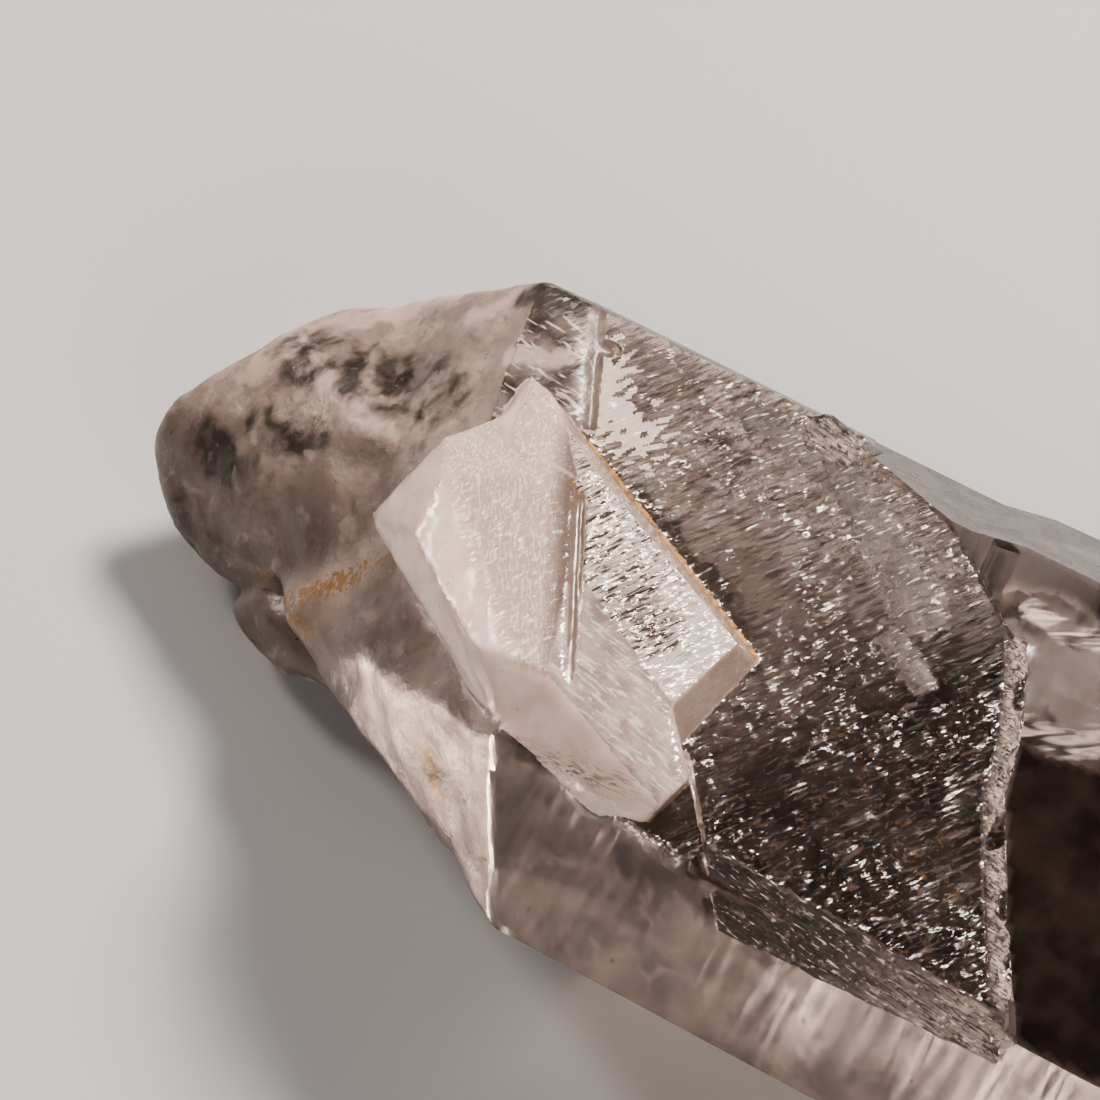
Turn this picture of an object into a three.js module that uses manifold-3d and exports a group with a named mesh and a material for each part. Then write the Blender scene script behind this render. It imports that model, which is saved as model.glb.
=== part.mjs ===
// A clear quartz point of the lemurian habit, lying on one of its prism faces.
// An etched plate of later growth covers part of its upper face, and a small milky
// crystal stands on that face near the worn, broken base. All of it is one piece of stone.
// Millimetres, +Z up. X runs along the crystal, from the base (-X) to the point (+X).

import * as THREE from "three";
import { ConvexGeometry } from "three/addons/geometries/ConvexGeometry.js";
import { mergeVertices } from "three/addons/utils/BufferGeometryUtils.js";
import Module from "manifold-3d";

const wasm = await Module();
wasm.setup();

// Driving dimensions of the main crystal
const POINT_X = 70;
const PRISM_START_X = -24;
const AXIS_Y = 2.2;
const AXIS_Z = 12;

// The prism's faces: the turn of each face about the axis, from straight up towards
// the near side (-Y), and its distance from the axis. The face below is the one it lies on.
const PRISM_FACES = {
  upper: { turn: 0, distance: 10.8 },
  nearUpper: { turn: 60, distance: 19.2 },
  nearLower: { turn: 120, distance: 17 },
  below: { turn: 180, distance: AXIS_Z },
  farLower: { turn: 240, distance: 16.8 },
  farUpper: { turn: 312, distance: 16.5 },
};

// The point's faces lie at quartz's own angle to the axis
const POINT_FACE_TILT = 38.2;

// Later growth on the upper face
const PLATE_TOP = 24;
const PLATE_FOOT = 20;

const radians = THREE.MathUtils.degToRad;

function at(x, y, z) {
  return new THREE.Vector3(x, y, z);
}

function solidFrom(geometry) {
  geometry.deleteAttribute("normal");
  if (geometry.attributes.uv) {
    geometry.deleteAttribute("uv");
  }
  const merged = mergeVertices(geometry, 1e-4);
  const vertProperties = new Float32Array(merged.attributes.position.array);
  const triVerts = new Uint32Array(merged.index.array);
  return new wasm.Manifold(new wasm.Mesh({ numProp: 3, vertProperties, triVerts }));
}

function block(low, high) {
  const size = high.clone().sub(low);
  const geometry = new THREE.BoxGeometry(size.x, size.y, size.z);
  const middle = low.clone().add(high).multiplyScalar(0.5);
  return solidFrom(geometry.translate(middle.x, middle.y, middle.z));
}

// A lump with flat chipped sides, round its own corners
function lump(corners) {
  return solidFrom(new ConvexGeometry(corners));
}

// The same, with every corner worn down by the same amount
function wornLump(corners, wear) {
  const middle = corners.reduce((sum, corner) => sum.add(corner), at(0, 0, 0));
  middle.divideScalar(corners.length);
  return corners.reduce((rest, corner) => {
    const outward = corner.clone().sub(middle).normalize();
    const reach = Math.max(...corners.map((other) => outward.dot(other))) - wear;
    return rest.trimByPlane(outward.clone().negate().toArray(), -reach);
  }, lump(corners));
}

// A smooth shell-shaped hollow or swelling, as broken quartz has
function ball(middle, radii, turn = 0) {
  const geometry = new THREE.IcosahedronGeometry(1, 3);
  geometry.scale(radii.x, radii.y, radii.z);
  geometry.rotateZ(radians(turn));
  return solidFrom(geometry.translate(middle.x, middle.y, middle.z));
}

// Cuts a solid along the plane through three corners and keeps the side with `inside`
function facet(solid, inside, [a, b, c]) {
  const plane = new THREE.Plane().setFromCoplanarPoints(a, b, c);
  if (plane.distanceToPoint(inside) < 0) {
    plane.negate();
  }
  return solid.trimByPlane(plane.normal.toArray(), -plane.constant);
}

function facets(solid, inside, list) {
  return list.reduce((rest, corners) => facet(rest, inside, corners), solid);
}

// One length of prism: its section is where each face's line meets the next face's line
function prismLength(fromX, toX, raised = {}) {
  const sides = Object.entries(PRISM_FACES).map(([name, face]) => ({
    y: -Math.sin(radians(face.turn)),
    z: Math.cos(radians(face.turn)),
    reach: face.distance + (raised[name] ?? 0),
  }));
  const corners = sides.map((side, i) => {
    const next = sides[(i + 1) % sides.length];
    const across = side.y * next.z - next.y * side.z;
    return new THREE.Vector2(
      AXIS_Y + (side.reach * next.z - next.reach * side.z) / across,
      AXIS_Z + (side.y * next.reach - next.y * side.reach) / across,
    );
  });
  const section = new THREE.Shape(corners);
  const geometry = new THREE.ExtrudeGeometry(section, { depth: toX - fromX, bevelEnabled: false });
  const alongX = new THREE.Matrix4().makeBasis(at(0, 1, 0), at(0, 0, 1), at(1, 0, 0));
  return solidFrom(geometry.applyMatrix4(alongX).translate(fromX, 0, 0));
}

// The habit's ladder of growth lines: bars across the two faces that are turned down,
// which die out before they reach the prism's side corners
const LADDER_TOPS = [10.4, 8.2, 9.6, 6.9];
const LADDER_BARS = [
  { from: -14, width: 2.4, raise: 0.3 },
  { from: -9.6, width: 1.2, raise: 0.2 },
  { from: -6.5, width: 3.4, raise: 0.35 },
  { from: -1.4, width: 0.9, raise: 0.2 },
  { from: 1.2, width: 2.1, raise: 0.3 },
  { from: 5.1, width: 1.1, raise: 0.25 },
  { from: 8.2, width: 3, raise: 0.4 },
  { from: 13.4, width: 1.6, raise: 0.3 },
  { from: 17, width: 0.9, raise: 0.2 },
  { from: 19.9, width: 2.6, raise: 0.35 },
  { from: 24.6, width: 1.3, raise: 0.25 },
  { from: 28.1, width: 3.6, raise: 0.4 },
  { from: 33.9, width: 1.2, raise: 0.2 },
  { from: 37.2, width: 2.2, raise: 0.3 },
  { from: 41.6, width: 1, raise: 0.25 },
  { from: 44.5, width: 2.8, raise: 0.35 },
  { from: 49.2, width: 1.4, raise: 0.2 },
];

function mainPrism() {
  let prism = prismLength(PRISM_START_X, POINT_X + 2);
  LADDER_BARS.forEach(({ from, width, raise }, i) => {
    const bar = prismLength(from, from + width, { nearLower: raise, farLower: raise });
    const top = LADDER_TOPS[i % LADDER_TOPS.length];
    prism = prism.add(bar.trimByPlane([0, 0, -1], -top));
  });
  return prism;
}

// The far side swells out a little towards the point
function farSwelling() {
  const raised = { farUpper: 0.5, farLower: 1.2, nearUpper: -6, nearLower: -6, below: -4 };
  return facets(prismLength(16, 54, raised), at(30, 10, 14), [
    [at(19, 22.6, 14), at(19, 14.4, 22.8), at(27, 24.2, 14)],
    [at(19, 22.6, 14), at(19, 17.4, 5), at(27, 24.2, 14)],
    [at(52, 22.6, 14), at(52, 14.4, 22.8), at(46, 24.2, 14)],
    [at(52, 22.6, 14), at(52, 17.4, 5), at(46, 24.2, 14)],
  ]);
}

// Six faces meet at the point. Three are large, and the three between them stand further out.
const POINT_FACES = [
  { turn: 0, tip: POINT_X },
  { turn: 60, tip: POINT_X + 5 },
  { turn: 120, tip: POINT_X + 1 },
  { turn: 180, tip: POINT_X + 3 },
  { turn: 240, tip: POINT_X + 0.5 },
  { turn: 300, tip: POINT_X + 4 },
];

function withPoint(crystal) {
  const slope = radians(POINT_FACE_TILT);
  return POINT_FACES.reduce((rest, { turn, tip }) => {
    const outward = at(
      Math.sin(slope),
      -Math.cos(slope) * Math.sin(radians(turn)),
      Math.cos(slope) * Math.cos(radians(turn)),
    );
    const reach = outward.dot(at(tip, AXIS_Y, AXIS_Z));
    return rest.trimByPlane(outward.clone().negate().toArray(), -reach);
  }, crystal);
}

// The etched plate on the upper face. Its long near side is bevelled, its end towards
// the point is a rough ridge, and its far side falls away to the prism's far corner.
const PLATE_OUTLINE = [
  [-24, 22],
  [11.2, 22],
  [12.2, 15.8],
  [19.2, 14],
  [27, 8.2],
  [29.4, 3],
  [30.6, -1.2],
  [33.8, -7],
  [37, -12.2],
  [38.6, -17],
  [21.6, -17],
  [17.6, -12.4],
  [14.2, -8],
  [0, -2],
  [-10, 2],
  [-24, 6],
];

function plate() {
  const outline = new THREE.Shape(PLATE_OUTLINE.map(([x, y]) => new THREE.Vector2(x, y)));
  const geometry = new THREE.ExtrudeGeometry(outline, {
    depth: PLATE_TOP - PLATE_FOOT,
    bevelEnabled: false,
  });
  const whole = solidFrom(geometry.translate(0, 0, PLATE_FOOT));
  const inside = at(20, 0, 22);
  return facets(whole, inside, [
    // bevel along the near side
    [at(22, -12.4, PLATE_TOP), at(38, -13.2, PLATE_TOP), at(22, -15.3, 21.2)],
    // far side, down to the prism's far corner
    [at(-10, 16.5, PLATE_TOP), at(10, 16.5, PLATE_TOP), at(0, 23, 14)],
    // foot of the bevel, just clear of the prism face beside it
    [at(22, -15.3, 21.2), at(38, -15.1, 22.2), at(30, -13, 20)],
  ]);
}

// The plate ends towards the point in a raised, rough ridge
const RIDGE_LINE = [
  at(26.6, 9, PLATE_TOP),
  at(29.2, 3, PLATE_TOP),
  at(30.4, -1.2, PLATE_TOP),
  at(33.6, -7, PLATE_TOP),
  at(36.8, -12.2, PLATE_TOP),
  at(37.9, -14, 23.2),
];
const RIDGE_WIDTH = 0.75;
const RIDGE_RISE = 0.45;

function ridge() {
  const lengths = RIDGE_LINE.slice(1).map((end, i) => {
    const corners = [RIDGE_LINE[i], end].flatMap((place) => [
      place.clone().add(at(-RIDGE_WIDTH, -RIDGE_WIDTH / 2, 0)),
      place.clone().add(at(0.1, 0, RIDGE_RISE)),
      place.clone().add(at(0.5, 0.2, 0)),
      place.clone().add(at(0.3, 0.1, -1.6)),
      place.clone().add(at(-RIDGE_WIDTH, -RIDGE_WIDTH / 2, -1.6)),
    ]);
    return lump(corners);
  });
  return wasm.Manifold.union(lengths);
}

// Shell-shaped chips along the ridge
const RIDGE_CHIPS = [
  { middle: at(28.6, 6, 24.9), radii: at(1, 2.1, 1.2) },
  { middle: at(31.2, 0.4, 24.8), radii: at(0.9, 1.6, 1.1) },
  { middle: at(31.6, -2.9, 24.7), radii: at(0.8, 1.9, 1.2) },
  { middle: at(34.2, -6.6, 24.9), radii: at(1.1, 1.7, 1.2) },
  { middle: at(36.3, -9.8, 24.8), radii: at(0.9, 1.8, 1.1) },
];

// A shoulder that carries the near upper face on up, under the small crystal
function shoulder() {
  const whole = prismLength(-10, 22, { upper: 2.6 });
  return facets(whole, at(8, -11, 22), [
    [at(3, -12.2, 25.4), at(17, -13.7, 22.8), at(11, -8, 24.6)],
    [at(-4, -8, 24), at(13, -8, 24), at(13, -8, 20)],
  ]);
}

// The small crystal's corners, named by where they lie on it
const SIDE = {
  grooveTop: at(0.4, 2.3, 29.1),
  grooveLow: at(6.6, -9.4, 28.2),
  stripTop: at(0.8, 2.9, 29),
  stripMiddle: at(5.6, -3.7, 28.2),
  stripLow: at(7.2, -9.1, 27.7),
  leftTop: at(-6.8, -1.1, 27.6),
  leftMiddle: at(-6.3, -5, 26.8),
  leftLow: at(0.8, -9.9, 26.9),
  rightTop: at(-0.6, 5.4, 26.8),
  rightTip: at(13.2, -1.1, 26.3),
  rightLow: at(12.2, -6.8, 26.8),
  glassRight: at(15.3, -10.1, 26),
  glassLow: at(14.2, -12.7, 24.2),
  glassLeft: at(10.9, -13.7, 24.2),
  marginLow: at(2.1, -11.3, 25),
  marginMiddle: at(-3.4, -8, 24),
  cornerLeft: at(-10.6, -3.2, 22.5),
  marginTop: at(-10.1, 0.3, 24),
  hornLeft: at(-6.9, 5.8, 25.5),
  horn: at(-7.2, 9.6, 25),
};

function sideCrystal() {
  const s = SIDE;
  const inside = at(4, -4, 22);
  const whole = facets(block(at(-14, -18, 10), at(20, 14, 34)), inside, [
    // the bright etched face, and the frosted band below it
    [s.stripTop, s.rightTip, s.rightLow],
    [s.stripMiddle, s.rightLow, s.stripLow],
    // the milky faces on the other side of the groove
    [s.grooveTop, s.grooveLow, s.leftMiddle],
    [s.grooveTop, s.leftTop, s.hornLeft],
    // the lower, glassier faces
    [s.grooveLow, s.leftLow, s.glassLeft],
    [s.stripLow, s.rightLow, s.glassRight],
    [s.glassLow, s.glassLeft, at(10.5, -11.5, 16)],
    [s.glassLow, s.glassRight, at(12, -9, 14)],
    // the narrow far side, down to the big crystal's face
    [s.rightTip, s.rightTop, at(2.4, 5.5, PLATE_TOP)],
    // the worn margin towards the base
    [s.leftMiddle, s.cornerLeft, s.marginMiddle],
    [s.leftLow, s.marginMiddle, s.marginLow],
    [s.leftTop, s.cornerLeft, s.marginTop],
    [s.marginTop, s.hornLeft, at(-7, 3, 14)],
    // its overhanging underside
    [s.cornerLeft, s.marginMiddle, at(-3, 0, 10)],
    [s.marginLow, s.glassLeft, at(6, -6, 10)],
  ]);
  // its end towards the point steps in, so it is two pieces that share every other face
  const bright = facet(whole, inside, [s.rightTip, s.rightLow, at(13.8, -3.5, PLATE_TOP)]);
  const glassy = facet(whole, inside, [s.rightLow, s.glassRight, at(13, -6.6, 20)]);
  const horn = lump([
    s.horn,
    s.hornLeft,
    s.rightTop,
    s.grooveTop,
    at(-4.8, 8.4, 26),
    at(-5, 3.5, 27.2),
    at(-7.6, 10, 22),
    at(-7.6, 4, 18),
    at(0, 6.4, 22),
  ]);
  return bright.add(glassy).add(horn);
}

// The shallow groove between the small crystal's two main faces
function sideGroove() {
  const s = SIDE;
  const along = s.grooveLow.clone().sub(s.grooveTop).normalize();
  const before = s.grooveTop.clone().addScaledVector(along, 0.8);
  const after = s.grooveLow.clone().addScaledVector(along, -0.3);
  const across = at(0.9, 0.45, 0).normalize();
  const ends = [before, after].flatMap((end) => [
    end.clone().addScaledVector(across, -0.7).add(at(0, 0, 0.9)),
    end.clone().addScaledVector(across, 1.1).add(at(0, 0, 0.9)),
    end.clone().addScaledVector(across, 0.35).add(at(0, 0, -0.75)),
  ]);
  return lump(ends);
}

// The worn base end: a rounded lump, and a splinter below it
const BASE_WEAR = 0.35;

function baseLump() {
  const corners = [
    at(-18.6, 15, 17),
    at(-21.3, 15.1, 15.5),
    at(-23.9, 14.5, 14.5),
    at(-26.9, 10.2, 13),
    at(-30.1, 6.9, 11.5),
    at(-31.6, 4.8, 10),
    at(-31.8, 3, 7),
    at(-28, -1.2, 5),
    at(-23.2, -2.7, 5),
    at(-19.9, -3.2, 9),
    at(-13.7, -2.1, 14.5),
    at(-11.3, -1.8, 16.5),
    at(-24.3, 8.8, 15),
    at(-18.3, 6.4, 17),
    at(-13.8, 4.6, 19.2),
    at(-27, 3, 1.8),
    at(-21, 1, 0.8),
    at(-24, 11, 3),
    at(-15, 14, 1.5),
    at(-6, 2, 0.6),
    at(-6, 12, 0.6),
    at(-6, 10, 18),
    at(-4, 0, 18),
  ];
  return wornLump(corners, BASE_WEAR);
}

function baseSplinter() {
  const corners = [
    at(-22.8, -2.8, 3),
    at(-20.4, -5.1, 3.5),
    at(-16.9, -6.1, 4),
    at(-14.5, -6.3, 5),
    at(-11.7, -7, 7),
    at(-20.4, -3.3, 7),
    at(-12, -4, 9),
    at(-20, -1, 0.8),
    at(-12, -2.5, 0.5),
    at(-8, 2, 0.7),
    at(-16, 3, 7),
  ];
  return wornLump(corners, BASE_WEAR);
}

function withBrokenBase(crystal) {
  const inside = at(10, 0, 12);
  const broken = facets(crystal, inside, [
    // the flat break on the near side
    [at(3.5, -13, 24), at(6.7, -18.6, 14.3), at(-13.9, -5.8, 13.5)],
    [at(6.7, -18.6, 14.3), at(-10.3, -8.9, 11.3), at(-1, -6, 0)],
    // the two breaks that slope away from the upper face
    [at(-10.6, 16.5, 24), at(-8.9, 9.6, 24), at(-18.5, 6.7, 15.6)],
    [at(-18.5, 6.7, 15.6), at(-13.7, 4.4, 18.7), at(-12.8, -6.3, 13.2)],
    // the far corner's break, and the undercut end
    [at(-10.6, 16.5, 24), at(-17.7, 16.1, 17.5), at(-13, 22, 8)],
    [at(-20, 10, 12), at(-20, 0, 12), at(-15, 5, 0)],
    // smaller breaks on the underside
    [at(-16, 16, 12), at(-16, 3, 0), at(-6, 15, 0)],
    [at(-15, -4, 8), at(-14.5, 2, 0), at(-2, -8, 0)],
    [at(-18, 8, 3), at(-15, 0, 3), at(-9, 6, 0)],
  ]);
  return broken.add(baseLump()).add(baseSplinter());
}

// Bites and hollows where stone has broken away
const BASE_HOLLOWS = [
  { middle: at(1, -18.2, 12), radii: at(6.4, 3.2, 6), turn: -30 },
  { middle: at(-17.4, -8.2, 8.4), radii: at(3.4, 1.9, 2.6), turn: -20 },
  { middle: at(-19.5, 20.4, 17.2), radii: at(2.6, 5, 3.2), turn: 15 },
  { middle: at(-27.5, 5.5, 15.8), radii: at(3.6, 2.6, 2.6), turn: 20 },
  { middle: at(-14.6, 13.6, 25.4), radii: at(3.4, 4.6, 4.6), turn: -20 },
  { middle: at(16.6, 26.2, 17), radii: at(7.5, 4, 6.5), turn: 0 },
];

// The little knob on the far edge of the plate
function knob() {
  return lump([
    at(8.3, 16.2, 24),
    at(9.4, 16.6, 24.6),
    at(11.2, 16.2, 24.5),
    at(12.6, 15.4, 23.8),
    at(12.2, 13.9, 24),
    at(9, 14.3, 24.1),
    at(8.4, 18, 21.4),
    at(12.8, 17.8, 21.2),
    at(10.5, 15, 20),
  ]);
}

// Etch pits on the plate: shallow wedges that all point the same way
const PIT_ROWS = 9;
const PITS_PER_ROW = 7;
const PIT_DIRECTION = 60;
const PIT_SWING = 16;

function etchPits() {
  const pits = [];
  for (let row = 0; row < PIT_ROWS; row += 1) {
    for (let place = 0; place < PITS_PER_ROW; place += 1) {
      const wander = Math.sin(row * 12.9 + place * 78.2) * 1.3;
      const x = -1 + row * 3.7 + wander + place * 0.6;
      const y = 13 - place * 3.4 + Math.cos(row * 5.1 + place * 9.7) * 1.2;
      const onPlate = x < 28.5 - y * 0.42 && x + y < 29 && y > -11;
      const underSide = x < 17.5 && y < 8.5 - x * 0.45 && y > -14;
      if (onPlate && !underSide) {
        const length = 1.7 + 0.8 * Math.sin(row + place * 2.3);
        const direction = PIT_DIRECTION + PIT_SWING * Math.sin(row * 3.7 + place * 1.9);
        pits.push(etchPit(x, y, length, direction));
      }
    }
  }
  return wasm.Manifold.union(pits);
}

function etchPit(x, y, length, direction) {
  const along = at(Math.cos(radians(direction)), Math.sin(radians(direction)), 0);
  const across = at(-along.y, along.x, 0);
  const middle = at(x, y, PLATE_TOP + 0.2);
  const point = (forward, aside, drop) =>
    middle.clone().addScaledVector(along, forward).addScaledVector(across, aside).add(at(0, 0, -drop));
  return lump([
    point(-length, 0, 0),
    point(length, 0, 0),
    point(0.3 * length, 0.75, 0),
    point(0.3 * length, -0.75, 0),
    point(0.55 * length, 0, 0.7),
  ]);
}

// The narrow worn channel beside the small crystal, with a deeper hole near its far end
function channel() {
  const ends = [at(-6.6, 17, 0), at(-2.3, 8.4, 0)];
  const trough = lump(
    ends.flatMap((end) => [
      end.clone().add(at(-0.55, -0.25, PLATE_TOP + 0.2)),
      end.clone().add(at(0.55, 0.25, PLATE_TOP + 0.2)),
      end.clone().add(at(0, 0, PLATE_TOP - 0.45)),
    ]),
  );
  return trough.add(ball(at(-4.4, 14.2, 24), at(0.75, 0.55, 0.7)));
}

function wholeCrystal() {
  let stone = mainPrism().add(farSwelling());
  stone = withPoint(stone);
  stone = stone.add(plate()).add(ridge()).add(shoulder());
  stone = withBrokenBase(stone);
  stone = stone.add(knob());
  for (const { middle, radii, turn } of [...RIDGE_CHIPS, ...BASE_HOLLOWS]) {
    stone = stone.subtract(ball(middle, radii, turn));
  }
  stone = stone.subtract(channel()).subtract(etchPits());
  return stone.add(sideCrystal().subtract(sideGroove()));
}

function meshOf(solid, name, material) {
  const { vertProperties, triVerts, numProp } = solid.getMesh();
  const positions = new Float32Array((vertProperties.length / numProp) * 3);
  for (let i = 0; i < positions.length / 3; i += 1) {
    positions.set(vertProperties.subarray(i * numProp, i * numProp + 3), i * 3);
  }
  const geometry = new THREE.BufferGeometry();
  geometry.setAttribute("position", new THREE.BufferAttribute(positions, 3));
  geometry.setIndex(new THREE.BufferAttribute(new Uint32Array(triVerts), 1));
  geometry.computeVertexNormals();
  const mesh = new THREE.Mesh(geometry, material);
  mesh.name = name;
  return mesh;
}

const quartz = new THREE.MeshStandardMaterial({
  color: 0xd9cfc8,
  roughness: 0.15,
  metalness: 0,
  transparent: true,
  opacity: 0.45,
});

const crystal = meshOf(wholeCrystal(), "crystal", quartz);

// The origin is under the middle of the crystal, on the surface it lies on
crystal.geometry.computeBoundingBox();
const box = crystal.geometry.boundingBox;
crystal.position.set(-(box.min.x + box.max.x) / 2, -(box.min.y + box.max.y) / 2, -box.min.z);

const group = new THREE.Group();
group.add(crystal);

export default group;
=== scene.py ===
import math

import bmesh
import bpy
import numpy as np
from mathutils import Matrix, Vector, noise
from mathutils.geometry import delaunay_2d_cdt
from mathutils.kdtree import KDTree


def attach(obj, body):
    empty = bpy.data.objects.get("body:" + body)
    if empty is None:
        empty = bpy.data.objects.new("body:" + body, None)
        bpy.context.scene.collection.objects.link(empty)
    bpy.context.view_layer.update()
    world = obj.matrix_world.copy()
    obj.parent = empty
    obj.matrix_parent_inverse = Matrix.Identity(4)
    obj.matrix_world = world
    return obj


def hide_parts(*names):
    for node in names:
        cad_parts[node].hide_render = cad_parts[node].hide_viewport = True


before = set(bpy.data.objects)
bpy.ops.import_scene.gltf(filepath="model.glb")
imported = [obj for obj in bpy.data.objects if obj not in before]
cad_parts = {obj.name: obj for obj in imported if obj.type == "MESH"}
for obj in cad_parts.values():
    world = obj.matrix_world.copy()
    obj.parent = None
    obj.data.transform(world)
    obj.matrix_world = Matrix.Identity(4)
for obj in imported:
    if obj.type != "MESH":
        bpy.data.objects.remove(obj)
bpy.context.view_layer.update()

# The stone's surface
# One grown piece of quartz: a long clear prism with a worn, milky base, an etched plate of
# later growth on its upper face, and a small milky crystal that grew on the plate's edge.
# Each flat face gets a fine even mesh here, so that etching and wear can be cut into it.
MM = 0.001

# The drawing's origin in the frame that the stone rests in. All sizes of the stone are in
# millimetres from the drawing's origin, with X along the stone towards its point.
DRAWING_ORIGIN = Vector((-19.479, -2.551, 0.0))

# The heights of the etched plate and of the clear terrace that it grew on
PLATE_TOP = 24.0
TERRACE_TOP = 22.8

# How far apart the mesh's points lie on each kind of surface
SPACING = {
    "plate": 0.2,
    "ridge": 0.2,
    "bevel": 0.2,
    "bright": 0.2,
    "milky": 0.22,
    "glassy": 0.22,
    "groove": 0.22,
    "flank": 0.25,
    "channel": 0.22,
    "cap": 0.3,
    "margin": 0.25,
    "base": 0.38,
    "terrace": 0.5,
    "near": 0.45,
    "far": 0.45,
    "under": 0.8,
    "point": 0.8,
}

# The outline of the small crystal, seen from above
SIDE_OUTLINE = [
    (-7.8, 10.2),
    (-3.6, 9.4),
    (0.2, 6.9),
    (13.7, -0.9),
    (14.4, -6.6),
    (15.6, -10.1),
    (14.5, -13.1),
    (10.8, -14.1),
    (2.0, -11.9),
    (-3.7, -8.4),
    (-11.0, -3.3),
    (-10.5, 0.6),
    (-8.2, 6.0),
]
GROOVE_TOP = Vector((0.4, 2.3))
GROOVE_LOW = Vector((6.6, -9.4))
GROOVE_WIDTH = 1.2
GROOVE_FOOT = 27.0
SIDE_FOOT = 22.0
MARGIN_END = -8.0
GLASSY_END = -6.6

# A narrow worn channel parts the etched plate from the smooth cap beside the base
CHANNEL_TOP = Vector((-6.6, 17.0))
CHANNEL_LOW = Vector((-2.3, 8.4))
CHANNEL_WIDTH = 1.1
CHANNEL_END = 8.0
CAP_END = 5.0

# Where the near edge's bevel, the point and the broken base begin and end
BEVEL_START = 20.0
BEVEL_EDGES = (-16.5, -11.0)
BEVEL_FOOT = 21.0
POINT_START = 54.0
BASE_END = -8.6
NEAR_BREAK_END = 4.0
NEAR_BREAK_FOOT = 10.0

# The pits in the plate are small faces, and lie only in this part of it
PIT_AREA = 2.5
PITS_END = (36.0, 16.0)


def inside_outline(x, y, outline):
    """Whether a place is inside a closed outline, by the sides that a ray crosses."""
    crossings = 0
    for (ax, ay), (bx, by) in zip(outline, outline[1:] + outline[:1]):
        if (ay > y) != (by > y) and x < ax + (y - ay) * (bx - ax) / (by - ay):
            crossings += 1
    return crossings % 2 == 1


def beside_channel(x, y):
    """How far a place lies from the channel's middle line, positive towards the base."""
    along = (CHANNEL_LOW - CHANNEL_TOP).normalized()
    return (Vector((x, y)) - CHANNEL_TOP).cross(along)


def beside_groove(x, y):
    """How far a place lies from the groove of the small crystal, positive on its right."""
    along = (GROOVE_LOW - GROOVE_TOP).normalized()
    return along.cross(Vector((x, y)) - GROOVE_TOP)


def kind_on_small_crystal(x, y, z, normal):
    steep = normal.z < 0.8
    if steep and z > GROOVE_FOOT and abs(beside_groove(x, y)) < GROOVE_WIDTH:
        return "groove"
    if steep and (normal.y > 0.3 or normal.x > 0.6):
        return "flank"
    if steep or x < MARGIN_END:
        return "margin"
    if beside_groove(x, y) < 0.0:
        return "milky"
    return "bright" if y > GLASSY_END else "glassy"


def kind_on_plate(x, y, z, normal, area):
    """The kind of a face above the terrace, or None where it is on the plate's edge."""
    looks_up = normal.z > 0.9
    to_channel = beside_channel(x, y)
    if z < PLATE_TOP - 0.03 and y > CHANNEL_END and abs(to_channel) < CHANNEL_WIDTH:
        return "channel"
    if looks_up and y > CAP_END and to_channel > 0.0:
        return "cap"
    in_pit = normal.z > 0.4 and area < PIT_AREA and x < PITS_END[0] and y < PITS_END[1]
    return "plate" if in_pit or looks_up else None


def kind_on_prism(x, y, z, normal):
    on_near_edge = x > BEVEL_START and BEVEL_EDGES[0] < y < BEVEL_EDGES[1] and z > BEVEL_FOOT
    if on_near_edge and normal.y < -0.5 and normal.z > 0.55:
        return "bevel"
    if x > POINT_START and normal.x > 0.3:
        return "point"
    ladder_step = normal.x < -0.99
    if x < BASE_END or (normal.x < -0.25 and not ladder_step):
        return "base"
    if x < NEAR_BREAK_END and normal.y < -0.5 and z > NEAR_BREAK_FOOT:
        return "base"
    if normal.z > 0.9:
        return "terrace"
    if normal.z > 0.3:
        return "near" if normal.y < 0 else "far"
    return "under"


def kind_of_face(middle, normal, area):
    """What part of the stone a flat face is, told by its place and where it looks."""
    x, y, z = middle
    on_plate_top = abs(z - PLATE_TOP) < 0.02 and normal.z > 0.99
    if inside_outline(x, y, SIDE_OUTLINE) and z > SIDE_FOOT and not on_plate_top:
        return kind_on_small_crystal(x, y, z, normal)
    if z > PLATE_TOP + 0.02:
        return "ridge"
    above_terrace = z > TERRACE_TOP + 0.1
    kind = kind_on_plate(x, y, z, normal, area) if above_terrace else None
    return kind or kind_on_prism(x, y, z, normal)


MERGE_DISTANCE = 0.001
FLAT_ANGLE = math.radians(0.3)


def flat_faces(node):
    """The CAD crystal as flat faces of many sides, cut in two along the channel."""
    stone = bmesh.new()
    stone.from_mesh(node.data)
    bmesh.ops.remove_doubles(stone, verts=stone.verts, dist=MERGE_DISTANCE * MM)
    stone.transform(Matrix.Translation(-DRAWING_ORIGIN) @ Matrix.Scale(1 / MM, 4))
    bmesh.ops.dissolve_limit(
        stone,
        angle_limit=FLAT_ANGLE,
        use_dissolve_boundaries=False,
        verts=stone.verts,
        edges=stone.edges,
        delimit=set(),
    )
    lowest = PLATE_TOP - 0.1
    tops = [face for face in stone.faces if face.normal.z > 0.99 and face.verts[0].co.z > lowest]
    along = CHANNEL_LOW - CHANNEL_TOP
    bmesh.ops.bisect_plane(
        stone,
        geom=tops + list({part for face in tops for part in (*face.edges, *face.verts)}),
        dist=MERGE_DISTANCE,
        plane_co=(*CHANNEL_TOP, 0.0),
        plane_no=(-along.y, along.x, 0.0),
    )
    stone.normal_update()
    stone.verts.index_update()
    stone.edges.index_update()
    stone.faces.index_update()
    return stone


# The points inside a face keep this share of their spacing away from its rim
RIM_GAP = 0.6


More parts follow.
